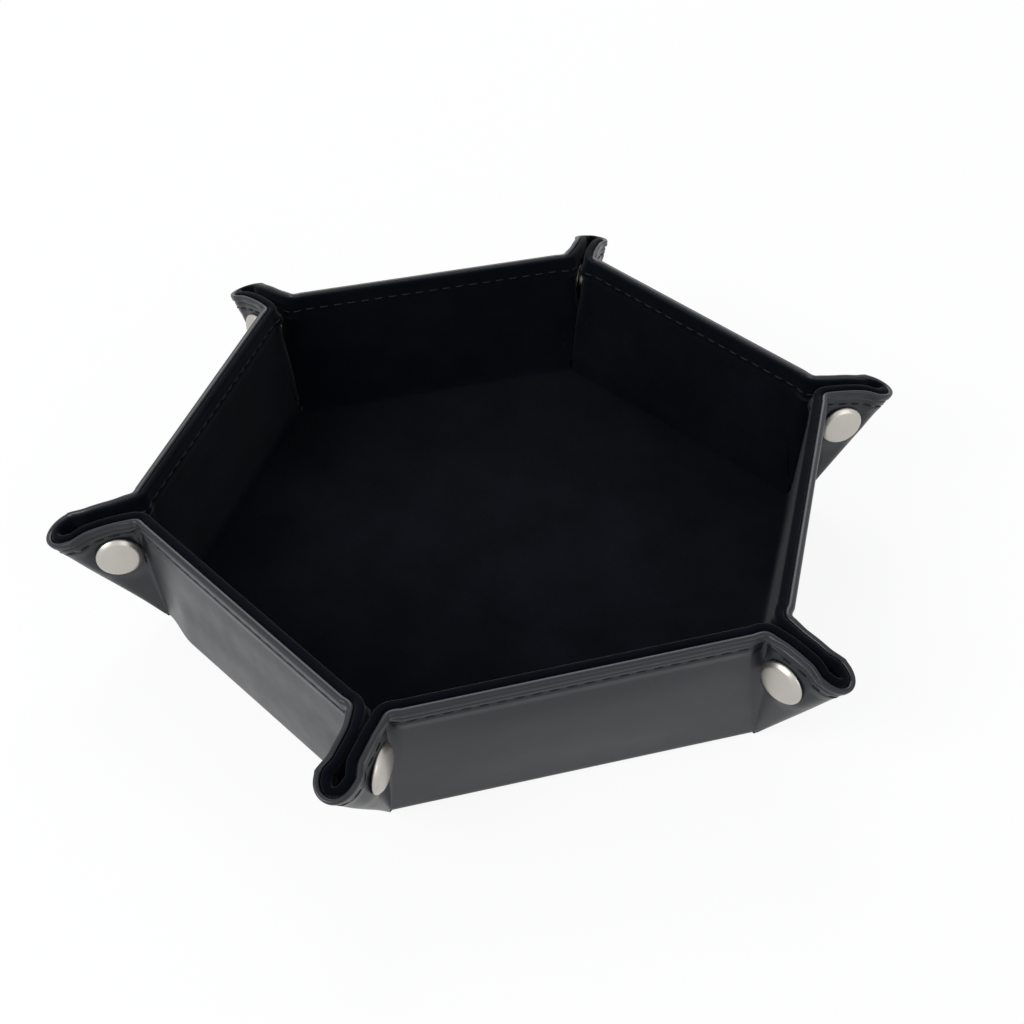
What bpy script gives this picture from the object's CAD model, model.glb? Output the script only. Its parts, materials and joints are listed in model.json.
import json
import math
from collections import namedtuple

import bpy
import numpy as np
from mathutils import Matrix, Vector


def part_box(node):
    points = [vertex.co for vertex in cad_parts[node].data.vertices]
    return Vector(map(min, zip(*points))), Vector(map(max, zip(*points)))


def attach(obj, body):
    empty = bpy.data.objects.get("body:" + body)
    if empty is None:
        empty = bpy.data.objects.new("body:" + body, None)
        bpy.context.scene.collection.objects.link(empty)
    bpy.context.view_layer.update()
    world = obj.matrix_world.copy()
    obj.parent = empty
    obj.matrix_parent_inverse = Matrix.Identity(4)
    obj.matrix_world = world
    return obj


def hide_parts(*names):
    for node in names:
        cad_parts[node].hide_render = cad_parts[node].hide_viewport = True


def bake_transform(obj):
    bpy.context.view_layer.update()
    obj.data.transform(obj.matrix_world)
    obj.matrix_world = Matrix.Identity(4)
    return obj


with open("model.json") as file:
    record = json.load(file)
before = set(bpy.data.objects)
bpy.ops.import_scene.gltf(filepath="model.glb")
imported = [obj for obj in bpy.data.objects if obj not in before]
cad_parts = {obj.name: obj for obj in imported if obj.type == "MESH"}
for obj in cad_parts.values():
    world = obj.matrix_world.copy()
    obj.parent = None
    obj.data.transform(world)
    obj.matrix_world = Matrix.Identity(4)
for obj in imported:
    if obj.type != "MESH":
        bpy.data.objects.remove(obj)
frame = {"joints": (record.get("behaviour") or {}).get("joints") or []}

bl_info = {
    "name": "Snap-up dice tray",
    "version": (1, 0, 0),
    "blender": (4, 5, 0),
    "location": "View3D > Sidebar > Tray",
    "description": "Dresses the frame of a hexagonal snap-up dice tray in leather, velvet and nickel",
    "category": "Object",
}

MM = 0.001

# Sizes of the sheet in millimetres and degrees
SIDES = 6
SHEET_THICKNESS = 3.1
FIN_THICKNESS = 2.5
CORNER_ROUND = 34.0        # round of the opened sheet's corners
LOOP_HALF_ANGLE = 8.0      # of the cone that a fin's tip is
NECK_ROUNDING = 4.6        # each side of the neck crease, over which the sheet turns
HALF_GAP = 0.03            # each side of a fin's middle plane
CREASE_BAND = 3.5          # half width of the strip of sheet that bends at a neck
CREASE_FAN = 19.0          # widest half angle of that strip, where it nears the bottom corner
FLOOR_STRIP = 7.5          # inward reach of the strip that joins wall and floor
LINING_THICKNESS = 0.8
BOTTOM_ROUND = 1.7
FLOOR_FILLET = 1.6

# The rim: the leather and the velvet are each turned over and sewn together
HEM_REACH = 7.0            # from the rim down to where the hem ends
HEM_FADE = 2.4             # length over which it dies out
RIM_BULGE = 0.75           # how far the turned edge stands out of the wall's face
EDGE_LINE_BELOW = 2.1      # from the rim down to the line under the turned edge
EDGE_LINE_WIDTH = 0.32
EDGE_STEP = 0.5            # length over which the turned edge swells
STITCH_DIP_WIDTH = 0.4
LEATHER_EDGE = 1.1         # depth that the turned leather reaches, and its height
VELVET_EDGE = 1.25         # depth at which the turned velvet starts
VELVET_PROUD = 0.25        # how far it stands into the tray
VELVET_EDGE_HEIGHT = 1.0
SQUARENESS = 2.4           # 2 gives the turned edges a round section, more a squarer one

# The soft walls
BELLY = 0.35               # how far a wall swells at half height
BELLY_RISE = (4.0, 16.0)
BELLY_FALL = (26.0, 36.0)
LOW_BELLIES = (0.0, 0.3, 0.3, 0.3, 0.8, 2.0)      # how far each wall stands out above its foot
LOW_BELLY_FALL = (3.0, 26.0)
BELLY_ENDS = ((0.0, 0.3), (0.7, 1.0))             # shares of a wall's length over which they die out
LOW_BELLY_ENDS = ((0.0, 0.15), (0.85, 1.0))
FOLD_BAND = (-0.6, 3.4)    # strip that bends as a wall folds, along a slope of 45 degrees

# The soft corners, counter-clockwise from above. neck, snap and tip are half widths of the fin at the
# rim. out, around and up say how far the corner's top stands from its regular place, and reach and lean
# how much further outwards and round the tray its tip does.
SoftCorner = namedtuple("SoftCorner", "neck snap tip out around up reach lean", defaults=[0.0] * 5)
CORNERS = {
    "front right": SoftCorner(3.9, 3.5, 4.4, out=0.3),
    "right": SoftCorner(4.1, 3.9, 4.9, out=-1.0, up=0.4, reach=0.8),
    "back right": SoftCorner(4.5, 4.1, 4.9, out=0.2, around=-0.7, up=0.9, reach=0.3),
    "back left": SoftCorner(4.8, 4.4, 5.1, around=-0.5, up=0.7),
    "left": SoftCorner(5.1, 4.7, 5.7, out=0.4, around=0.3, up=-0.5, reach=1.3),
    "front left": SoftCorner(4.2, 3.7, 4.9, out=1.0, around=-1.2, up=-0.8, reach=0.6, lean=-1.7),
}
LEAN_OUT = (4.0, 22.0)     # reach outwards over which the lean grows
LEAN_UP = 8.0              # height from which it does
REGULAR_TIP = 5.7          # half width at the rim of a tip that is a plain cone
WIDEST = 1.1               # most that a fin may be wider than the plain cone
WIDTHS_FROM = 20.0         # distance from the bottom corner from which the widths count
SNAP_ANGLES = (0.5, 8.0)   # angles over which the width goes from the neck's to the snap's
TIP_FROM = 16.0            # angle from which it goes to the tip's
RIM_FAN = 8.0              # angle before the neck over which the rim turns to the fin's width
REACH_FROM = 8.0           # angle and distance from which the tip reaches further
DIMPLE_ARC = (-0.8, 1.5)   # middle and width of the neck's dimple along the rim
DIMPLE_BELOW = (4.9, 1.7)  # and down from it
THIN_ARC = (0.0, 3.0)      # a fin's sheet thins over this length from the neck
THIN_BELOW = (4.2, 6.5)    # and from the rim
EDGE_FADE = (0.0, 8.0)     # angles over which the turned edge loses half of its bulge
SEAT_EDGE = (-0.3, 3.2)    # where the cap's pressed seat ends, from the edge of the cap
SEAT_MARGIN = 0.03
START = 0.25               # distance from the bottom corner of a corner's first row
TONGUE = (1.2, 2.5, 3.8)   # each half runs on past the ridge inside the other, so they meet when flat
TONGUE_INSET = 0.05        # how far inside it lies

# Strips of a corner that bend as it opens: distance from the bottom corner and reach each way
NECK_BEND_AT = 24.0
NECK_BEND = (-1.8, 1.8)
TIP_BEND_AT = 30.0
TIP_BEND = (-3.0, 1.6)

# Press snaps
CAP_HEIGHT = 2.1
CAP_SHOULDER = 1.25        # from the cap's side in to the edge of its face
CAP_DOME = 0.42            # how far the face falls from its middle to its edge
FLANGE_RADIUS = 4.2
SOCKET_RADIUS = 3.9
SOCKET_BORE = 3.15
SPRING_RING = 2.85
SPRING_WIRE = 0.22
STUD_HEAD = 2.6
STUD_NECK = 2.1

# Repeats of the materials' patterns per metre, from the size of one in millimetres
LEATHER_CLOUDS = 28.0      # slow change of tone over 36 mm
PRESSED_GRAIN = 1100.0     # grain of 0.9 mm, coarser than the real one so that it shows
SOFT_CREASES = 160.0       # creases 6 mm apart
VELVET_CLOUDS = 45.0       # where the pile lies one way or the other, 22 mm
PILE_TUFTS = 2200.0        # tufts of 0.45 mm, coarser than the pile so that they show
THREAD_TWIST = 3000.0      # a turn of the thread in 0.33 mm
NICKEL_WEAR = 260.0        # handled places, 4 mm

# Rows and columns of the meshes
NECK_STATIONS = 23
FLAP_STATIONS = 17
LOOP_STATIONS = 15
WALL_STATIONS = 49
TONGUE_STATIONS = len(TONGUE)
STITCH_RINGS = 7
STITCH_SIDES = 6
SIDE_SHARES = (0.0, 0.008, 0.018, 0.032, 0.05, 0.075, *np.linspace(0.11, 1.0, 13))


def cos(angle):
    return np.cos(np.radians(angle))


def sin(angle):
    return np.sin(np.radians(angle))


def unit(vector):
    vector = np.asarray(vector, float)
    return vector / np.linalg.norm(vector)


def smooth(value, low, high):
    """0 below low, 1 above high and a smooth rise between."""
    share = np.clip((value - low) / (high - low), 0.0, 1.0)
    return share * share * (3.0 - 2.0 * share)


def plateau(value, rise, fall):
    """0 before the rise and after the fall, 1 between them."""
    return smooth(value, *rise) * (1.0 - smooth(value, *fall))


def bell(value, centre, width):
    return np.exp(-((value - centre) / width) ** 2)


def soft_corner(number):
    return list(CORNERS.values())[number - 1]


def detail(name):
    """A size from the sidebar, in millimetres."""
    return getattr(bpy.context.scene.tray_sizes, name) / MM


def linear(code):
    """Linear colour of an sRGB hex code."""
    channels = [int(code[k:k + 2], 16) / 255.0 for k in (1, 3, 5)]
    return [c / 12.92 if c <= 0.04045 else ((c + 0.055) / 1.055) ** 2.4 for c in channels]


# Driving geometry, read from the frame's hinges
JOINTS = {joint["name"]: joint for joint in frame["joints"]}
CORNER_TURN = 360.0 / SIDES
HALF_TURN = CORNER_TURN / 2.0
APOTHEM = -JOINTS["fold_wall_1"]["pos_m"][1] / MM
LEAN = 90.0 - JOINTS["fold_wall_1"]["range_deg"][1]
BASE_RADIUS = APOTHEM / cos(HALF_TURN)


def turn_about_z(angle):
    return np.array([[cos(angle), -sin(angle), 0.0], [sin(angle), cos(angle), 0.0], [0.0, 0.0, 1.0]])


def corner_angle(number):
    return CORNER_TURN * (number - 1) - 90.0 + HALF_TURN


def mirror(side):
    """Factors that turn side a into the named side, in the corner's own frame."""
    return np.array([1.0, 1.0 if side == "a" else -1.0, 1.0])


def corner_shift(number, out, height):
    """How far a corner's points stand from their regular place, by their reach outwards and height."""
    corner = soft_corner(number)
    height = np.asarray(height, float)
    top = smooth(height, 0.0, SNAP_Z)[..., None] * np.array([corner.out, corner.around, corner.up])
    lean = corner.lean * smooth(out, *LEAN_OUT) * smooth(height, LEAN_UP, WALL_HEIGHT)
    return top + lean[..., None] * np.array([0.0, 1.0, 0.0])


def settled(points, number, side):
    """Points of side a in the corner's own frame, moved as the soft corner stands."""
    points = np.array(points, float)
    return points + corner_shift(number, points[..., 0], points[..., 2]) * mirror(side)


def turned_to_corner(vectors, number, side):
    """Directions of side a in the corner's own frame, as they are at a corner and side of the tray."""
    return (np.asarray(vectors) * mirror(side)) @ turn_about_z(corner_angle(number)).T


def to_corner(points, number, side):
    """Points of side a in the corner's own frame, moved to a corner and side of the tray."""
    centre = BASE_RADIUS * np.array([cos(corner_angle(number)), sin(corner_angle(number)), 0.0])
    return turned_to_corner(points, number, side) + centre


# Corner frame: origin at the outer bottom corner, X outwards, Y round the tray, Z up. Side a is at -Y.
FOOT_LINE = np.array([sin(HALF_TURN), cos(HALF_TURN), 0.0])
WALL_UP = np.array([cos(HALF_TURN) * sin(LEAN), -sin(HALF_TURN) * sin(LEAN), cos(LEAN)])
WALL_OUT = np.array([cos(HALF_TURN) * cos(LEAN), -sin(HALF_TURN) * cos(LEAN), -sin(LEAN)])
CREASE = turn_about_z(-corner_angle(1)) @ unit(JOINTS["crease_1a"]["axis"])
NECK_INSET = math.degrees(math.acos(CREASE @ WALL_UP))
CREASE_SIDE = FOOT_LINE * cos(NECK_INSET) + WALL_UP * sin(NECK_INSET)
CREASE_TURN = JOINTS["crease_1a"]["range_deg"][1]
LOOP_TURN = -JOINTS["unbend_1a"]["range_deg"][0]
FIN_SIDE = CREASE_SIDE * cos(CREASE_TURN) + WALL_OUT * sin(CREASE_TURN)
FIN_OUT = WALL_OUT * cos(CREASE_TURN) - CREASE_SIDE * sin(CREASE_TURN)
SECTOR = HALF_TURN + NECK_INSET
FLAT_ANGLE = SECTOR - LOOP_TURN * sin(LOOP_HALF_ANGLE)
FIN_RAY = CREASE * cos(FLAT_ANGLE) + FIN_SIDE * sin(FLAT_ANGLE)
IN_RIDGE_PLANE = np.array([1.0, 0.0, 1.0])
LOOP_AXIS = unit((FIN_RAY * cos(LOOP_HALF_ANGLE) - FIN_OUT * sin(LOOP_HALF_ANGLE)) * IN_RIDGE_PLANE)
RIDGE_ROUND = np.array([LOOP_AXIS[2], 0.0, -LOOP_AXIS[0]])

# The snap of the right corner stands on the frame's X axis
SNAP_LOW, SNAP_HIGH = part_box("snap_socket_2")
SNAP_X = (SNAP_LOW.x + SNAP_HIGH.x) / 2.0 / MM - BASE_RADIUS
SNAP_Z = (SNAP_LOW.z + SNAP_HIGH.z) / 2.0 / MM
CAP_RADIUS = (SNAP_HIGH.z - SNAP_LOW.z) / 2.0 / MM
SEAT = -SNAP_LOW.y / MM - CAP_HEIGHT
WALL_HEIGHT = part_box("wall_cover_1")[1].z / MM / cos(LEAN)
ROUND_CENTRE = (WALL_HEIGHT - CORNER_ROUND) / cos(HALF_TURN)


def sharp_direction(angle):
    """Direction from the bottom corner of the ray at an angle from the neck crease, opened flat."""
    angle = np.asarray(angle, float)
    beyond = angle > SECTOR
    angle = np.where(beyond, 2.0 * SECTOR - angle, angle)[..., None]
    wall = CREASE * cos(angle) + CREASE_SIDE * sin(angle)
    flat = CREASE * cos(angle) + FIN_SIDE * sin(angle)
    turned = LOOP_TURN * (SECTOR - angle) / (SECTOR - FLAT_ANGLE)
    loop = LOOP_AXIS * cos(LOOP_HALF_ANGLE) + sin(LOOP_HALF_ANGLE) * (
        RIDGE_ROUND * cos(turned) - np.array([0.0, 1.0, 0.0]) * sin(turned))
    result = np.where(angle <= 0.0, wall, np.where(angle < FLAT_ANGLE, flat, loop))
    return np.where(beyond[..., None], result * mirror("b"), result)


def direction(angle):
    """The same, with the neck crease rounded by a mean over the angles near it."""
    total = 0.0
    for share in np.linspace(-1.0, 1.0, 9):
        weight = 1.0 - 0.8 * share * share
        total = total + weight * sharp_direction(np.asarray(angle) + share * NECK_ROUNDING)
    return total / np.linalg.norm(total, axis=-1, keepdims=True)


def outward(angle):
    """Outward normal of the sheet on the ray at an angle."""
    angle = np.asarray(angle, float)
    step = 0.4
    across = direction(angle + step) - direction(angle - step)
    normal = np.cross(across, direction(angle))
    return normal / np.linalg.norm(normal, axis=-1, keepdims=True)


def rim_distance(angle):
    """Length of a ray from the bottom corner to the rim."""
    angle = np.asarray(angle, float)
    straight = WALL_HEIGHT / cos(angle - NECK_INSET)
    along = ROUND_CENTRE * cos(SECTOR - angle)
    off = ROUND_CENTRE * sin(SECTOR - angle)
    rounded = along + np.sqrt(CORNER_ROUND ** 2 - off ** 2)
    tangent = NECK_INSET + math.degrees(math.atan(ROUND_CENTRE * sin(HALF_TURN) / WALL_HEIGHT))
    return np.where(angle < tangent, straight, rounded)


def face_offset(below):
    """Depth of the face near the rim: the hem, the turned edge and the stitches' dip."""
    swell = detail("hem_swell")
    hem = -swell * (1.0 - smooth(below, HEM_REACH - HEM_FADE, HEM_REACH))
    edge = (-RIM_BULGE + swell) * (1.0 - smooth(below, EDGE_LINE_BELOW - EDGE_STEP, EDGE_LINE_BELOW))
    return hem + edge + detail("stitch_dip") * bell(below, detail("stitch_below"), STITCH_DIP_WIDTH)


def edge_line(below):
    """Line that the turned edge of the cover leaves under the rim."""
    return detail("edge_line") * bell(below, EDGE_LINE_BELOW, EDGE_LINE_WIDTH)


def lobe(outer, inner, height, count):
    """Half round of a turned edge from the outer to the inner depth, as (below the rim, depth)."""
    turn = np.linspace(180.0, 0.0, count)
    power = 2.0 / SQUARENESS
    across = np.sign(cos(turn)) * np.abs(cos(turn)) ** power
    depth = (outer + inner) / 2.0 + (inner - outer) / 2.0 * across
    below = height * (1.0 - np.abs(sin(turn)) ** power)
    return list(zip(below, depth))


LEATHER_SLOT, VELVET_SLOT, THREAD_SLOT = 0, 1, 2

# A row of the sheet's section lies at a share of the way from its foot to its hem, or below the rim
Row = namedtuple("Row", "share below depth velvet")


def section():
    """Rows of the sheet's section: up the leather, over the two turned edges and down the velvet."""
    stitches = detail("stitch_below")

    # Rows lie close where the face bends: at the stitches and at the line under the turned edge
    below = [*np.linspace(HEM_REACH, stitches + 1.1, 5), *np.linspace(stitches + 0.8, stitches, 6)]
    below += [*np.linspace(stitches - 0.16, stitches - 0.8, 5)]
    below += [*np.linspace(EDGE_LINE_BELOW + 0.8, EDGE_LINE_BELOW - 0.8, 15)]

    # The leather, its turned edge, the velvet's turned edge and the velvet
    rows = [Row(share, None, 0.0, 0.0) for share in SIDE_SHARES[:-1]]
    rows += [Row(None, b, float(face_offset(b) + edge_line(b)), 0.0) for b in below]
    rows += [Row(None, b, d, 0.0) for b, d in lobe(-RIM_BULGE, LEATHER_EDGE, LEATHER_EDGE, 13)]
    velvet_face = SHEET_THICKNESS + VELVET_PROUD
    rows += [Row(None, b, d, 1.0) for b, d in lobe(VELVET_EDGE, velvet_face, VELVET_EDGE_HEIGHT, 11)]
    for b in reversed([b for b in below if b > EDGE_LINE_BELOW]):
        sunk = max(face_offset(b), -detail("hem_swell")) * 0.6
        rows.append(Row(None, b, float(SHEET_THICKNESS - sunk), 1.0))
    rows += [Row(share, None, SHEET_THICKNESS, 1.0) for share in reversed(SIDE_SHARES[:-1])]
    return rows


def width_factor(angles, distance, corner):
    """How much wider a fin stands than the plain cone, by angle and distance from the bottom corner."""
    plain = -direction(angles)[:, 1] * WALL_HEIGHT
    wanted = corner.neck + (corner.snap - corner.neck) * smooth(angles, *SNAP_ANGLES)
    wanted = wanted + (corner.tip - corner.snap) * smooth(angles, TIP_FROM, FLAT_ANGLE + 1.0)
    ratio = np.where(angles > FLAT_ANGLE, corner.tip / REGULAR_TIP, np.minimum(wanted / plain, WIDEST))
    ratio = 1.0 + (ratio - 1.0) * smooth(angles, -RIM_FAN, 1.0)
    return 1.0 + (ratio - 1.0) * smooth(distance, WIDTHS_FROM, WALL_HEIGHT)


def fitted_depth(depth, angles, arc, from_rim, points, normals):
    """Depth of a row at each station: thinner on a fin, never past its middle plane or loop axis."""
    thinned = smooth(arc, *THIN_ARC) * smooth(from_rim, *THIN_BELOW)
    thin = SHEET_THICKNESS - (SHEET_THICKNESS - FIN_THICKNESS) * thinned
    deep = depth * thin / SHEET_THICKNESS
    if depth < 0.0:
        deep = depth * (1.0 - 0.5 * smooth(angles, *EDGE_FADE))
    to_plane = -points[:, 1] / np.maximum(-normals[:, 1], 0.05) - HALF_GAP
    to_axis = np.linalg.norm(points, axis=1) * sin(LOOP_HALF_ANGLE)
    room = np.maximum(np.where(angles > FLAT_ANGLE, to_axis, to_plane), 0.02)
    return np.where(angles > 0.0, np.minimum(deep, room), deep)


def corner_points(station_angles, number):
    """Points of side a of a corner in its own frame, rows by stations, and which rows are velvet.

    station_angles turns a distance from the bottom corner into the angle of each station.
    """
    corner = soft_corner(number)
    grid, velvet = [], []
    for row in section():
        distance = np.full(len(station_angles(WALL_HEIGHT)), WALL_HEIGHT)
        for _ in range(3):
            angles = np.array([station_angles(d)[k] for k, d in enumerate(distance)])
            reach = rim_distance(angles)
            past_ridge = smooth(angles, SECTOR, SECTOR + TONGUE[0])
            if row.below is None:
                distance = START + (reach - HEM_REACH - START) * row.share
            else:
                distance = reach - row.below - TONGUE_INSET * past_ridge
        points = direction(angles) * distance[:, None]
        normals = outward(angles)
        points[:, 1] *= width_factor(angles, distance, corner)
        points[:, 0] += corner.reach * smooth(angles, REACH_FROM, SECTOR) * smooth(
            distance, REACH_FROM, WALL_HEIGHT)

        # The seat that the cap is pressed into
        from_snap = np.hypot(points[:, 0] - SNAP_X, points[:, 2] - SNAP_Z)
        unpressed = smooth(from_snap, CAP_RADIUS + SEAT_EDGE[0], CAP_RADIUS + SEAT_EDGE[1])
        pressed = np.where(angles > 0.0, 1.0 - unpressed, 0.0)
        points[:, 1] += pressed * (-SEAT + SEAT_MARGIN - points[:, 1])

        # The dimple under the rim at the neck and the rounded foot
        from_rim = reach - distance
        arc = np.radians(angles) * distance
        sink = detail("dimple") * bell(arc, *DIMPLE_ARC) * bell(from_rim, *DIMPLE_BELOW)
        low = np.sqrt(np.clip(points[:, 2] / BOTTOM_ROUND, 0.0, 1.0))
        points -= normals * (sink + BOTTOM_ROUND * (1.0 - low) ** 2)[:, None]

        if row.depth != 0.0:
            points -= normals * fitted_depth(row.depth, angles, arc, from_rim, points, normals)[:, None]
        inset = TONGUE_INSET * past_ridge * (-1.0 if row.velvet else 1.0)
        points -= normals * inset[:, None]

        # Nothing reaches past the fin's middle plane, except the tongue
        over = (points[:, 1] > -HALF_GAP) & (angles < SECTOR)
        on_wall = over & (angles <= 0.0)
        slide = (-HALF_GAP - points[:, 1]) / FOOT_LINE[1]
        points[on_wall] += FOOT_LINE * slide[on_wall][:, None]
        points[:, 1] = np.where(over & (angles > 0.0), -HALF_GAP, points[:, 1])
        grid.append(points)
        velvet.append(row.velvet)
    return np.array(grid), np.array(velvet)


def band_edge(distance):
    """Angle of the neck strip's edge at a distance from the bottom corner."""
    return min(math.degrees(CREASE_BAND / distance), CREASE_FAN)


def corner_stations(distance):
    """Angles of the columns of a corner's side: across the neck, over the flap, round the loop."""
    edge = band_edge(distance)
    shares = np.linspace(-1.0, 1.0, NECK_STATIONS)
    neck = edge * np.sign(shares) * np.abs(shares) ** 1.3
    flap = edge + (FLAT_ANGLE - edge) * np.linspace(0.0, 1.0, FLAP_STATIONS)
    loop = FLAT_ANGLE + (SECTOR - FLAT_ANGLE) * np.linspace(0.0, 1.0, LOOP_STATIONS)
    return np.concatenate([neck, flap[1:], loop[1:], SECTOR + np.array(TONGUE)])


def surface_normals(grid, first_step=None, last_step=None):
    """Normals of a grid of points, from the steps along its rows and columns."""
    across = np.gradient(grid, axis=1)
    if first_step is not None:
        across[:, 0] = first_step
    if last_step is not None:
        across[:, -1 - TONGUE_STATIONS:] = last_step
    normals = np.cross(across, np.gradient(grid, axis=0))
    return normals / np.maximum(np.linalg.norm(normals, axis=2, keepdims=True), 1e-9)


def grid_mesh(name, grid, normals, velvet, flip, threads):
    """Closed piece from a grid of points in millimetres, leather or velvet by row, with stitches.

    Flat faces close its first and last columns and the slot between its first and last rows. flip
    turns the faces of a mirrored grid outwards.
    """
    rows, columns = grid.shape[:2]
    vertices = (grid.reshape(-1, 3) * MM).tolist()
    normals = normals.reshape(-1, 3)
    faces, slots = [], []
    for r in range(rows - 1):
        for c in range(columns - 1):
            here, above = r * columns + c, (r + 1) * columns + c
            faces.append([here, here + 1, above + 1, above])
            slots.append(VELVET_SLOT if velvet[r] + velvet[r + 1] > 1.0 else LEATHER_SLOT)
    shaped = len(faces)
    faces.append([r * columns for r in range(rows)])
    faces.append([r * columns + columns - 1 for r in reversed(range(rows))])
    last = (rows - 1) * columns
    faces += [[last + c, last + c + 1, c + 1, c] for c in range(columns - 1)]
    closed = len(faces)
    slots += [VELVET_SLOT] * (closed - shaped)
    faces = [face[::-1] if flip else face for face in faces]
    given = [tuple(normals[k]) for face in faces[:shaped] for k in face]
    for path, outward_path in threads:
        for rings in stitches_along(path, outward_path):
            first = len(vertices)
            vertices += (rings.reshape(-1, 3) * MM).tolist()
            for ring in range(first, first + (STITCH_RINGS - 1) * STITCH_SIDES, STITCH_SIDES):
                for c in range(STITCH_SIDES):
                    here, side = ring + c, ring + (c + 1) % STITCH_SIDES
                    faces.append([here, side, side + STITCH_SIDES, here + STITCH_SIDES])
                    slots.append(THREAD_SLOT)
    mesh = bpy.data.meshes.new(name)
    mesh.from_pydata(vertices, [], faces)
    mesh.polygons.foreach_set("material_index", slots)
    mesh.polygons.foreach_set("use_smooth", [not shaped <= k < closed for k in range(len(faces))])
    free = sum(len(face) for face in faces) - len(given)
    mesh.normals_split_custom_set(given + [(0.0, 0.0, 0.0)] * free)
    for material in (leather_material(), velvet_material(), thread_material()):
        mesh.materials.append(material)
    piece = bpy.data.objects.new(name, mesh)
    bpy.context.scene.collection.objects.link(piece)
    return piece


def stitches_along(path, outward_path):
    """Stitches along a path: for each, the rings of points of a short bowed capsule."""
    pitch, length, width = detail("stitch_pitch"), detail("stitch_length"), detail("stitch_width")
    steps = np.linalg.norm(np.diff(path, axis=0), axis=1)
    along = np.concatenate([[0.0], np.cumsum(steps)])
    count = max(int(round(along[-1] / pitch)), 1)
    shares = np.linspace(-1.0, 1.0, STITCH_RINGS)
    radius = width / 2.0 * np.sqrt(np.clip(1.02 - shares ** 4, 0.02, 1.0))
    lift = width * (0.12 - 0.5 * shares ** 4)
    turns = np.arange(STITCH_SIDES) * 360.0 / STITCH_SIDES
    for k in range(count):
        middle = (k + 0.5) * along[-1] / count
        places = np.clip(middle + shares * length / 2.0, 0.0, along[-1])
        centres = np.stack([np.interp(places, along, path[:, axis]) for axis in range(3)], axis=1)
        out = unit([np.interp(middle, along, outward_path[:, axis]) for axis in range(3)])
        side = np.cross(unit(centres[-1] - centres[0]), out)
        circle = cos(turns)[None, :, None] * out + sin(turns)[None, :, None] * side
        yield centres[:, None] + out * lift[:, None, None] + radius[:, None, None] * circle


def add_node(tree, kind, settings=None, links=None):
    """Adds a node to a tree, sets its values and links its inputs to other nodes' outputs."""
    node = tree.nodes.new(kind)
    for key, value in (settings or {}).items():
        if isinstance(key, str) and hasattr(node, key):
            setattr(node, key, value)
        else:
            node.inputs[key].default_value = value
    for key, source in (links or {}).items():
        tree.links.new(source, node.inputs[key])
    return node


def new_material(name):
    material = bpy.data.materials.new(name)
    material.use_nodes = True
    tree = material.node_tree
    shader = tree.nodes["Principled BSDF"]
    place = add_node(tree, "ShaderNodeTexCoord").outputs["Object"]
    return material, tree, shader, place


def mix_colour(tree, factor, first, second):
    mix = add_node(tree, "ShaderNodeMix", {"data_type": "RGBA"})
    tree.links.new(factor, mix.inputs[0])
    for socket, value in ((mix.inputs[6], first), (mix.inputs[7], second)):
        if isinstance(value, bpy.types.NodeSocket):
            tree.links.new(value, socket)
        else:
            socket.default_value = (*value, 1.0)
    return mix.outputs[2]


def leather_material():
    """Smooth polyurethane leather: a thin satin skin over cloth, with soft broad highlights."""
    found = bpy.data.materials.get("smooth_pu_leather")
    if found:
        return found
    colours = bpy.context.scene.tray_colours
    material, tree, shader, place = new_material("smooth_pu_leather")
    cloud = add_node(tree, "ShaderNodeTexNoise", {"Scale": LEATHER_CLOUDS, "Detail": 3.0},
                     {"Vector": place})
    tone = mix_colour(tree, cloud.outputs["Fac"], colours.leather, colours.leather_light)
    tree.links.new(tone, shader.inputs["Base Color"])

    # The cover's pressed grain lies on the soft creases of the sheet
    grain = add_node(tree, "ShaderNodeTexVoronoi", {"Scale": PRESSED_GRAIN}, {"Vector": place})
    creases = add_node(tree, "ShaderNodeTexNoise", {"Scale": SOFT_CREASES, "Detail": 4.0},
                       {"Vector": place})
    fine = add_node(tree, "ShaderNodeBump", {"Strength": 0.12, "Distance": 0.00006},
                    {"Height": grain.outputs["Distance"]})
    coarse = add_node(tree, "ShaderNodeBump", {"Strength": 0.16, "Distance": 0.0003},
                      {"Height": creases.outputs["Fac"], "Normal": fine.outputs["Normal"]})
    tree.links.new(coarse.outputs["Normal"], shader.inputs["Normal"])
    shine = add_node(tree, "ShaderNodeMapRange", {"To Min": 0.28, "To Max": 0.44},
                     {"Value": creases.outputs["Fac"]})
    tree.links.new(shine.outputs["Result"], shader.inputs["Roughness"])
    shader.inputs["IOR"].default_value = 1.5
    shader.inputs["Specular IOR Level"].default_value = 0.36
    return material


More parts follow.
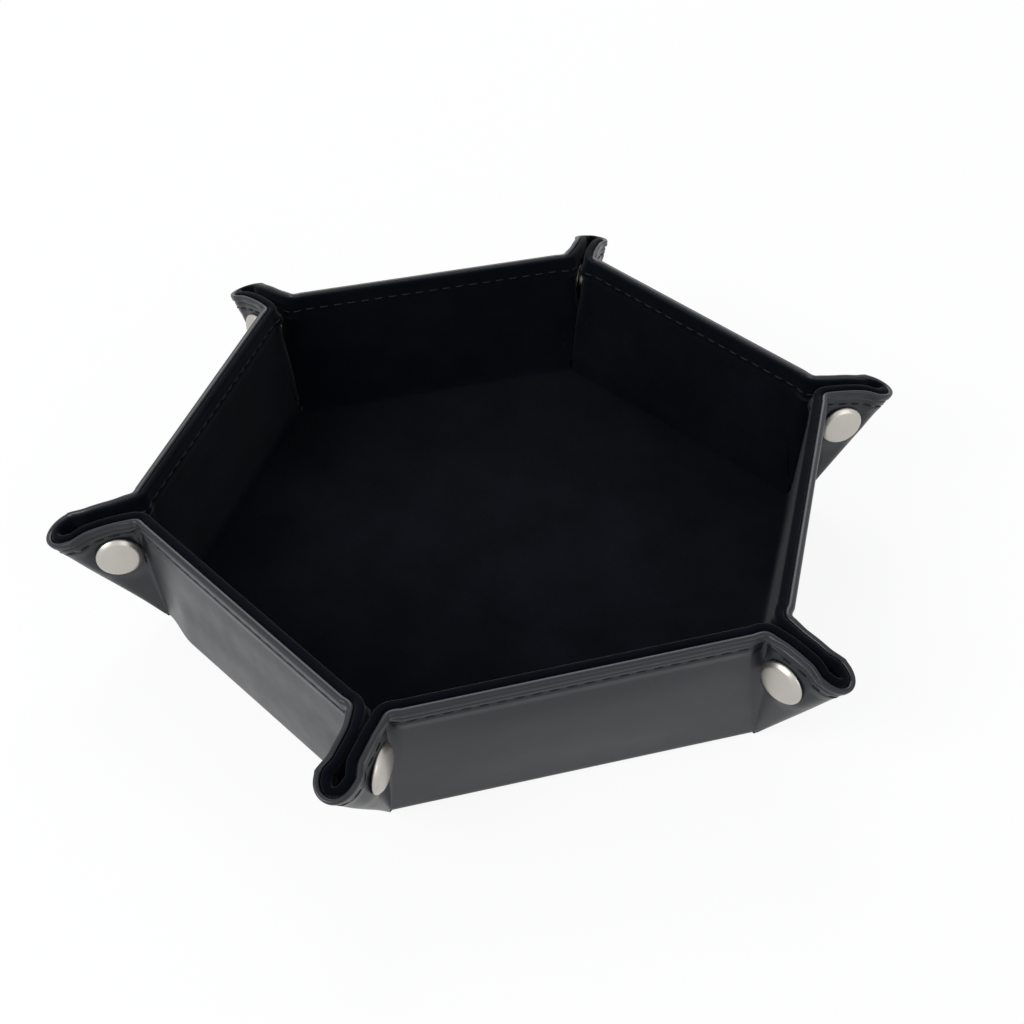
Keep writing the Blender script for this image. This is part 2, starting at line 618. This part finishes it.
def velvet_material():
    """Short-pile velvet: almost black, brighter where it is seen along the pile, slightly mottled."""
    found = bpy.data.materials.get("short_pile_velvet")
    if found:
        return found
    colours = bpy.context.scene.tray_colours
    material, tree, shader, place = new_material("short_pile_velvet")
    cloud = add_node(tree, "ShaderNodeTexNoise",
                     {"Scale": VELVET_CLOUDS, "Detail": 6.0, "Roughness": 0.65}, {"Vector": place})
    contrast = add_node(tree, "ShaderNodeMapRange", {"From Min": 0.35, "From Max": 0.7},
                        {"Value": cloud.outputs["Fac"]})
    tone = mix_colour(tree, contrast.outputs["Result"], colours.velvet, colours.velvet_light)
    tree.links.new(tone, shader.inputs["Base Color"])
    pile = add_node(tree, "ShaderNodeTexNoise", {"Scale": PILE_TUFTS, "Detail": 2.0},
                    {"Vector": place})
    bump = add_node(tree, "ShaderNodeBump", {"Strength": 0.5, "Distance": 0.0002},
                    {"Height": pile.outputs["Fac"]})
    tree.links.new(bump.outputs["Normal"], shader.inputs["Normal"])
    shader.inputs["Roughness"].default_value = 0.95
    shader.inputs["Specular IOR Level"].default_value = 0.03
    shader.inputs["Sheen Weight"].default_value = 0.09
    shader.inputs["Sheen Roughness"].default_value = 0.4
    return material


def thread_material():
    """Bonded polyester thread: twisted, slightly shiny, dark."""
    found = bpy.data.materials.get("bonded_thread")
    if found:
        return found
    material, tree, shader, place = new_material("bonded_thread")
    twist = add_node(tree, "ShaderNodeTexNoise", {"Scale": THREAD_TWIST}, {"Vector": place})
    dark = bpy.context.scene.tray_colours.thread
    tone = mix_colour(tree, twist.outputs["Fac"], dark, [c * 1.8 for c in dark])
    tree.links.new(tone, shader.inputs["Base Color"])
    shader.inputs["Roughness"].default_value = 0.6
    shader.inputs["Specular IOR Level"].default_value = 0.2
    return material


def nickel_material():
    """Satin nickel plating on pressed brass: brushed so finely that it shows as soft grey."""
    found = bpy.data.materials.get("satin_nickel")
    if found:
        return found
    material, tree, shader, place = new_material("satin_nickel")
    plate = bpy.context.scene.tray_colours.nickel
    wear = add_node(tree, "ShaderNodeTexNoise", {"Scale": NICKEL_WEAR, "Detail": 3.0},
                    {"Vector": place})
    tone = mix_colour(tree, wear.outputs["Fac"], plate, [c * 0.9 for c in plate])
    tree.links.new(tone, shader.inputs["Base Color"])
    rough = add_node(tree, "ShaderNodeMapRange", {"To Min": 0.3, "To Max": 0.42},
                     {"Value": wear.outputs["Fac"]})
    tree.links.new(rough.outputs["Result"], shader.inputs["Roughness"])
    shader.inputs["Metallic"].default_value = 1.0
    return material


def length(name, value, description):
    """Sidebar entry for a size given in millimetres."""
    return bpy.props.FloatProperty(
        name=name, description=description, default=value * MM, unit="LENGTH")


def colour(name, code, description):
    """Sidebar entry for a colour given as an sRGB hex code."""
    return bpy.props.FloatVectorProperty(
        name=name, description=description, subtype="COLOR", default=linear(code))


class TraySizes(bpy.types.PropertyGroup):
    """Sizes of the sewn and pressed details"""

    stitch_pitch: length("Stitch pitch", 4.0, "From one stitch to the next")
    stitch_length: length("Stitch length", 2.9, "Length of thread that shows")
    stitch_width: length("Stitch width", 0.5, "Thickness of the thread")
    stitch_below: length("Stitch line below rim", 4.1, "From the rim down to the stitches")
    stitch_dip: length("Stitch dip", 0.3, "How deep the stitches pull into the sheet")
    edge_line: length("Edge line", 0.5, "Depth of the line between the turned edge and the wall")
    hem_swell: length("Hem swell", 0.3, "How far the hem stands proud of the wall")
    dimple: length("Neck dimple", 1.1, "Depth of the dimple under the rim at a neck")


class TrayColours(bpy.types.PropertyGroup):
    """Colours of the finishes"""

    leather: colour("Leather", "#121419", "Darker tone of the cover")
    leather_light: colour("Leather light", "#191c22", "Lighter tone of the cover")
    velvet: colour("Velvet", "#03050a", "Darker tone of the lining")
    velvet_light: colour("Velvet light", "#090d13", "Lighter tone of the lining")
    thread: colour("Thread", "#0b0c10", "Colour of the stitches")
    nickel: colour("Nickel", "#bbb7b1", "Colour of the snaps")


def at_foot(out, up):
    """Point on a corner's middle plane, at a distance outside the walls' foot."""
    return np.array([out / cos(HALF_TURN), -HALF_GAP, up])


def end_column(number):
    """Last column of a wall on side a of a corner, from underside to floor velvet.

    Returns its points, which of them are velvet, and the number of the section's first row in it.
    """
    grid, velvet = corner_points(lambda distance: np.array([-band_edge(distance)]), number)
    column = grid[:, 0]
    round_start = at_foot(-BOTTOM_ROUND, 0.0)
    head = [at_foot(-FLOOR_STRIP, 0.0), at_foot(-FLOOR_STRIP * 0.6, 0.0), round_start,
            round_start * 0.5 + column[0] * 0.5]

    # The velvet turns into the floor with a fillet
    inner_foot = -(SHEET_THICKNESS * cos(LEAN)
                   - (SHEET_THICKNESS - SHEET_THICKNESS * sin(LEAN)) * math.tan(math.radians(LEAN)))
    last = max(k for k in range(1, len(column)) if column[k][2] > SHEET_THICKNESS + FLOOR_FILLET)
    corner = at_foot(inner_foot, SHEET_THICKNESS)
    end = at_foot(inner_foot - FLOOR_FILLET, SHEET_THICKNESS)
    tail = [(1 - t) ** 2 * column[last] + 2 * t * (1 - t) * corner + t * t * end
            for t in np.linspace(0.0, 1.0, 7)[1:]]
    tail += [at_foot(-FLOOR_STRIP * 0.85, SHEET_THICKNESS), at_foot(-FLOOR_STRIP, SHEET_THICKNESS)]
    points = head + list(column[:last + 1]) + tail
    sides = [0.0] * len(head) + list(velvet[:last + 1]) + [1.0] * len(tail)
    return np.array(points), np.array(sides), len(head)


def stitch_rows():
    """Numbers of the section's rows that carry the stitches, outside and inside."""
    found = [k for k, row in enumerate(section())
             if row.below is not None and abs(row.below - detail("stitch_below")) < 0.001]
    return found[0], found[-1]


def level_out(number):
    """Level direction out of a wall."""
    angle = CORNER_TURN * (number - 1) - 90.0
    return np.array([cos(angle), sin(angle), 0.0])


class TRAY_OT_walls(bpy.types.Operator):
    """Makes the six padded walls, with their hems and the strip that bends at the floor"""

    bl_idname = "tray.walls"
    bl_label = "Walls"

    def execute(self, context):
        shares = np.linspace(0.0, 1.0, WALL_STATIONS)
        for number in range(1, SIDES + 1):
            before = (number - 2) % SIDES + 1
            right, velvet, head = end_column(number)
            left = end_column(before)[0]
            right = to_corner(settled(right, number, "a"), number, "a")
            left = to_corner(settled(left, before, "b"), before, "b")
            grid = left[:, None] * (1 - shares)[None, :, None] + right[:, None] * shares[None, :, None]

            # The wall swells at half height, and its foot stands out
            out = level_out(number)
            heights = grid[:, :, 2]
            reach = smooth(grid @ out - APOTHEM, -FLOOR_STRIP, -FLOOR_STRIP * 0.5)
            belly = BELLY * plateau(heights, BELLY_RISE, BELLY_FALL) * plateau(shares, *BELLY_ENDS)
            low = (1.0 - smooth(heights, *LOW_BELLY_FALL)) * plateau(shares, *LOW_BELLY_ENDS) * reach
            grid += (belly + LOW_BELLIES[number - 1] * low)[..., None] * out * cos(LEAN)

            normals = surface_normals(grid)
            threads = [(grid[head + row], normals[head + row]) for row in stitch_rows()]
            piece = grid_mesh("wall_panel_%d" % number, grid, normals, velvet, False, threads)
            slope = unit(out + np.array([0.0, 0.0, 1.0]))
            start, end = [tuple((out * APOTHEM + slope * along) * MM) for along in FOLD_BAND]
            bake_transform(piece)
            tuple(start)
            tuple(end)
            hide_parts("wall_cover_%d" % number, "wall_lining_%d" % number,
                        "wall_board_%d" % number)
        return {"FINISHED"}


def hexagon_slab(name, bottom, top, cuts):
    """Flat six-sided slab of the floor between two heights in millimetres."""
    bpy.ops.object.select_all(action="DESELECT")
    bpy.ops.mesh.primitive_cylinder_add(
        vertices=SIDES, radius=(APOTHEM - FLOOR_STRIP) / cos(HALF_TURN) * MM, depth=(top - bottom) * MM,
        end_fill_type="TRIFAN", location=(0.0, 0.0, (top + bottom) / 2.0 * MM),
        rotation=(0.0, 0.0, math.radians(HALF_TURN)))
    slab = bpy.context.object
    slab.name = name
    slab.data.name = name
    bpy.ops.object.transform_apply(location=True, rotation=True, scale=True)
    bpy.ops.object.mode_set(mode="EDIT")
    bpy.ops.mesh.select_all(action="SELECT")
    bpy.ops.mesh.subdivide(number_cuts=cuts)
    bpy.ops.object.mode_set(mode="OBJECT")
    return slab


class TRAY_OT_floor(bpy.types.Operator):
    """Makes the floor: a covered board with a velvet sheet laid on it"""

    bl_idname = "tray.floor"
    bl_label = "Floor"

    def execute(self, context):
        lining_foot = SHEET_THICKNESS - LINING_THICKNESS
        floor = hexagon_slab("floor_pad", 0.0, lining_foot, 1)
        floor.data.materials.append(leather_material())
        lining = hexagon_slab("floor_lining", lining_foot, SHEET_THICKNESS, 5)
        lining.data.materials.append(velvet_material())
        for piece, slot in ((floor, "leather"), (lining, "velvet")):
            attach(piece, "base")
        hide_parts("base_cover", "base_board")
        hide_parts("base_lining")
        half = (APOTHEM - FLOOR_STRIP) * MM
        2.0 * half / cos(HALF_TURN)
        return {"FINISHED"}


def corner_piece(name, grid, normals, velvet, number, side, stitched):
    """Piece from some of a corner's stations, with stitches up to the one given."""
    points = to_corner(grid, number, side)
    out = turned_to_corner(normals, number, side)
    threads = [(points[row][:stitched], out[row][:stitched]) for row in stitch_rows()]
    return grid_mesh(name, points, out, velvet, side == "b", threads)


def bend_ends(middle, across, reaches, number, side):
    """Where a bending strip starts and ends on the line across its middle, in metres."""
    ends = to_corner([middle + across * reach for reach in reaches], number, side) * MM
    return [tuple(end) for end in ends]


class TRAY_OT_corners(bpy.types.Operator):
    """Makes the six pinched corners: neck strips and fins with their open loops"""

    bl_idname = "tray.corners"
    bl_label = "Corners"

    def execute(self, context):
        for number in range(1, SIDES + 1):
            regular, velvet = corner_points(corner_stations, number)
            for side in "ab":
                name = "%d%s" % (number, side)
                grid = settled(regular, number, side)
                normals = surface_normals(grid, FOOT_LINE, np.array([0.0, 1.0, 0.0]))
                last = NECK_STATIONS - 1
                neck = corner_piece("neck_" + name, grid[:, :last + 1], normals[:, :last + 1], velvet,
                                    number, side, NECK_STATIONS)
                fin = corner_piece("fin_" + name, grid[:, last:], normals[:, last:], velvet,
                                   number, side, -TONGUE_STATIONS)
                start, end = bend_ends(CREASE * NECK_BEND_AT, unit(CREASE_SIDE + FIN_SIDE), NECK_BEND,
                                       number, side)
                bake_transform(neck)
                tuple(start)
                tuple(end)

                # The tip bends half way between the flap's edge and the ridge
                edge, ridge = sharp_direction([FLAT_ANGLE - 1.0, SECTOR - 0.5]) * TIP_BEND_AT
                start, end = bend_ends((edge + ridge) / 2.0, unit(ridge - edge), TIP_BEND, number, side)
                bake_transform(fin)
                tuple(start)
                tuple(end)
                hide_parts("flap_" + name, "loop_" + name)
        return {"FINISHED"}


def place_on_snap(piece, number, side):
    """Moves a piece modelled along +Z, from the middle plane outwards, onto a corner's snap line."""
    sign = -1.0 if side == "a" else 1.0
    out, around, up = (corner_shift(number, SNAP_X + 0.6 * CAP_RADIUS, SNAP_Z) * MM).tolist()
    local = Matrix(((1.0, 0.0, 0.0, SNAP_X * MM + out), (0.0, 0.0, sign, around),
                    (0.0, -sign, 0.0, SNAP_Z * MM + up), (0.0, 0.0, 0.0, 1.0)))
    turn = Matrix.Rotation(math.radians(corner_angle(number)), 4, "Z")
    outwards = Matrix.Translation((BASE_RADIUS * MM, 0.0, 0.0))
    piece.data.transform(turn @ outwards @ local)


def turned_piece(name, profile, sides=64):
    """Round piece about Z from (radius, height) points in millimetres, by spinning their outline."""
    bpy.ops.object.select_all(action="DESELECT")
    mesh = bpy.data.meshes.new(name)
    points = [(radius * MM, 0.0, height * MM) for radius, height in profile]
    mesh.from_pydata(points, [(k, k + 1) for k in range(len(points) - 1)], [])
    piece = bpy.data.objects.new(name, mesh)
    bpy.context.scene.collection.objects.link(piece)
    bpy.context.view_layer.objects.active = piece
    piece.select_set(True)
    bpy.ops.object.mode_set(mode="EDIT")
    bpy.ops.mesh.select_all(action="SELECT")
    bpy.ops.mesh.spin(steps=sides, angle=2.0 * math.pi, center=(0.0, 0.0, 0.0), axis=(0.0, 0.0, 1.0))
    bpy.ops.mesh.select_all(action="SELECT")
    bpy.ops.mesh.remove_doubles(threshold=0.01 * MM)
    bpy.ops.mesh.normals_make_consistent(inside=False)
    bpy.ops.object.mode_set(mode="OBJECT")
    bpy.ops.object.shade_smooth_by_angle(angle=math.radians(40.0))
    mesh.materials.append(nickel_material())
    return piece


def rounded(points, radius, steps=4):
    """Outline of (radius, height) points with each inner corner rounded."""
    points = [np.array(p, float) for p in points]
    result = [points[0]]
    for before, corner, after in zip(points, points[1:], points[2:]):
        reach = min(radius, np.linalg.norm(before - corner) / 2.1, np.linalg.norm(after - corner) / 2.1)
        first = corner + unit(before - corner) * reach
        last = corner + unit(after - corner) * reach
        for t in np.linspace(0.0, 1.0, steps + 1):
            result.append((1 - t) ** 2 * first + 2 * t * (1 - t) * corner + t * t * last)
    result.append(points[-1])
    return [tuple(p) for p in result]


def cap_profile():
    """Cap from its underside out and up to a gently domed face."""
    face = CAP_RADIUS - CAP_SHOULDER
    crown = [(face * share, SEAT + CAP_HEIGHT - CAP_DOME * share * share)
             for share in np.linspace(1.0, 0.0, 7)]
    rim = [(0.0, SEAT - 0.1), (CAP_RADIUS - 0.5, SEAT - 0.1), (CAP_RADIUS, SEAT + 0.35),
           (CAP_RADIUS - 0.12, SEAT + 0.85), (face + 0.25, SEAT + CAP_HEIGHT - 0.5)]
    return rounded([*rim, crown[1]], 0.35)[:-1] + crown[1:]


def flange_profile(flange):
    """The flange that lies on the velvet, the same on both inner halves."""
    return [(0.0, flange + 0.05), (FLANGE_RADIUS, flange + 0.05), (FLANGE_RADIUS, flange - 0.5)]


def socket_profile(flange):
    """Socket: a flange and a wall round the bore that the stud snaps into."""
    return rounded(flange_profile(flange) + [
        (SOCKET_RADIUS + 0.05, flange - 0.62), (SOCKET_RADIUS, -0.55), (3.55, -0.72),
        (SOCKET_BORE, -0.55), (SOCKET_BORE, flange - 0.4), (0.0, flange - 0.4)], 0.15)


def stud_profile(flange):
    """Stud: a flange, a neck and a head a little wider."""
    return rounded(flange_profile(flange) + [
        (STUD_NECK + 0.1, flange - 0.6), (STUD_NECK, 0.3), (STUD_HEAD, -0.2), (STUD_HEAD - 0.15, -0.6),
        (0.0, -0.72)], 0.2)


def spring_profile():
    """Section of the spring ring, a round wire."""
    return [(SPRING_WIRE * cos(turn) + SPRING_RING, SPRING_WIRE * sin(turn))
            for turn in range(0, 361, 45)]


class TRAY_OT_snaps(bpy.types.Operator):
    """Makes the press snaps: caps outside, socket with spring and stud inside"""

    bl_idname = "tray.snaps"
    bl_label = "Press snaps"

    def execute(self, context):
        flange = SEAT - FIN_THICKNESS
        cap = turned_piece("cap", cap_profile())
        socket = turned_piece("socket", socket_profile(flange))
        stud = turned_piece("stud", stud_profile(flange))
        spring = turned_piece("spring", spring_profile())
        for number in range(1, SIDES + 1):
            for side, inner in (("a", socket), ("b", stud)):
                flap = "flap_%d%s" % (number, side)
                pieces = [("cap_%d%s" % (number, side), cap), ("%s_%d" % (inner.name, number), inner)]
                if side == "a":
                    pieces.append(("spring_%d" % number, spring))
                for name, model in pieces:
                    piece = bpy.data.objects.new(name, model.data.copy())
                    piece.data.name = name
                    context.scene.collection.objects.link(piece)
                    place_on_snap(piece, number, side)
                    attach(piece, flap)
                    if model is inner:
                        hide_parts("snap_%s_%d" % (inner.name, number))
        for model in (cap, socket, stud, spring):
            bpy.data.objects.remove(model)
        return {"FINISHED"}


# Camera, fitted to the photograph's view, and light. Angles are in degrees, lengths in metres.
CAMERA_AZIMUTH = -13.855
CAMERA_ELEVATION = 41.794
CAMERA_ROLL = -0.939
CAMERA_PLACE = (-0.06448, -0.27931, 0.27197)
LENS_TO_SENSOR = 1.4063
SENSOR = 36.0              # in millimetres
GROUND_RADIUS = 3.0
GROUND_BELOW = 0.0002      # so that the floor doesn't touch the tray's underside
GROUND_WHITE = 0.9         # share of plain white that the camera sees in the ground
LIT_POINT = (0.0, 0.0, 0.02)


def white_for_camera(tree, shader, output, share=1.0):
    """Mixes plain white into what the camera and reflections see, not into the light it gives."""
    path = add_node(tree, "ShaderNodeLightPath")
    straight = add_node(tree, "ShaderNodeMath", {"operation": "MAXIMUM"}, {
        0: path.outputs["Is Camera Ray"], 1: path.outputs["Is Transmission Ray"]})
    seen = add_node(tree, "ShaderNodeMath", {"operation": "MAXIMUM"}, {
        0: straight.outputs[0], 1: path.outputs["Is Glossy Ray"]})
    part = add_node(tree, "ShaderNodeMath", {"operation": "MULTIPLY", 1: share}, {0: seen.outputs[0]})
    on_piece = output.bl_idname == "ShaderNodeOutputMaterial"
    white = add_node(tree, "ShaderNodeEmission" if on_piece else "ShaderNodeBackground",
                     {"Color": (1.0, 1.0, 1.0, 1.0), "Strength": 1.0})
    mix = add_node(tree, "ShaderNodeMixShader")
    tree.links.new(part.outputs[0], mix.inputs[0])
    tree.links.new(shader.outputs[0], mix.inputs[1])
    tree.links.new(white.outputs[0], mix.inputs[2])
    tree.links.new(mix.outputs[0], output.inputs[0])


def soft_lamp(name, place, size, power):
    """Round lamp pointed at the tray, its size in metres and its power in watts."""
    data = bpy.data.lights.new(name, "AREA")
    data.shape = "DISK"
    data.size = size
    data.energy = power
    lamp = bpy.data.objects.new(name, data)
    lamp.location = place
    lamp.rotation_euler = (Vector(LIT_POINT) - Vector(place)).to_track_quat("-Z", "Y").to_euler()
    bpy.context.scene.collection.objects.link(lamp)


def fitted_camera():
    data = bpy.data.cameras.new("camera")
    data.sensor_width = SENSOR
    data.lens = SENSOR * LENS_TO_SENSOR
    data.clip_start = 0.01
    camera = bpy.data.objects.new("camera", data)
    azimuth, elevation, roll = np.radians([CAMERA_AZIMUTH, CAMERA_ELEVATION, CAMERA_ROLL]).tolist()
    back = Vector((math.sin(azimuth) * math.cos(elevation), -math.cos(azimuth) * math.cos(elevation),
                   math.sin(elevation)))
    right = Vector((math.cos(azimuth), math.sin(azimuth), 0.0))
    up = back.cross(right)
    across = right * math.cos(roll) + up * math.sin(roll)
    upright = up * math.cos(roll) - right * math.sin(roll)
    turn = Matrix((across, upright, back)).transposed().to_4x4()
    camera.matrix_world = Matrix.Translation(CAMERA_PLACE) @ turn
    bpy.context.scene.collection.objects.link(camera)
    return camera


class TRAY_OT_stage(bpy.types.Operator):
    """Makes the floor, the light and the camera"""

    bl_idname = "tray.stage"
    bl_label = "Stage"

    def execute(self, context):
        scene = context.scene
        bpy.ops.object.select_all(action="DESELECT")
        bpy.ops.mesh.primitive_circle_add(vertices=64, radius=GROUND_RADIUS, fill_type="NGON")
        ground = context.object
        ground.name = "ground"
        ground.data.transform(Matrix.Translation((0.0, 0.0, -GROUND_BELOW)))
        material, tree, shader, _ = new_material("pale_ground")
        shader.inputs["Base Color"].default_value = (*linear("#f2f2f2"), 1.0)
        shader.inputs["Roughness"].default_value = 0.9
        white_for_camera(tree, shader, tree.nodes["Material Output"], GROUND_WHITE)
        ground.data.materials.append(material)
        world = bpy.data.worlds.new("studio")
        world.use_nodes = True
        scene.world = world
        tree = world.node_tree
        grey = tree.nodes["Background"]
        grey.inputs["Color"].default_value = (*linear("#dfe3ea"), 1.0)
        grey.inputs["Strength"].default_value = 0.55
        white_for_camera(tree, grey, tree.nodes["World Output"])
        soft_lamp("key", place=(-0.9, -0.35, 0.75), size=0.7, power=9.0)
        soft_lamp("fill", place=(0.5, -0.9, 0.5), size=0.8, power=2.5)
        soft_lamp("back", place=(0.2, 1.0, 0.9), size=0.9, power=7.0)
        scene.camera = fitted_camera()
        scene.view_settings.view_transform = "Standard"
        return {"FINISHED"}


class TRAY_PT_panel(bpy.types.Panel):
    """Sizes, colours and pieces of the tray"""

    bl_label = "Dice tray"
    bl_idname = "TRAY_PT_panel"
    bl_space_type = "VIEW_3D"
    bl_region_type = "UI"
    bl_category = "Tray"

    def draw(self, context):
        for group in (context.scene.tray_sizes, context.scene.tray_colours):
            for key in group.bl_rna.properties.keys():
                if key not in ("rna_type", "name"):
                    self.layout.prop(group, key)
        for operator in OPERATORS:
            self.layout.operator(operator.bl_idname)


OPERATORS = (TRAY_OT_floor, TRAY_OT_walls, TRAY_OT_corners, TRAY_OT_snaps, TRAY_OT_stage)
CLASSES = (TraySizes, TrayColours, *OPERATORS, TRAY_PT_panel)


def register():
    for item in CLASSES:
        bpy.utils.register_class(item)
    bpy.types.Scene.tray_sizes = bpy.props.PointerProperty(type=TraySizes)
    bpy.types.Scene.tray_colours = bpy.props.PointerProperty(type=TrayColours)


def unregister():
    del bpy.types.Scene.tray_colours
    del bpy.types.Scene.tray_sizes
    for item in reversed(CLASSES):
        bpy.utils.unregister_class(item)


def main():
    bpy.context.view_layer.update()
    register()
    bpy.ops.tray.floor()
    bpy.ops.tray.walls()
    bpy.ops.tray.corners()
    bpy.ops.tray.snaps()
    bpy.ops.tray.stage()
    bpy.context.view_layer.update()


if __name__ == "__main__":
    main()
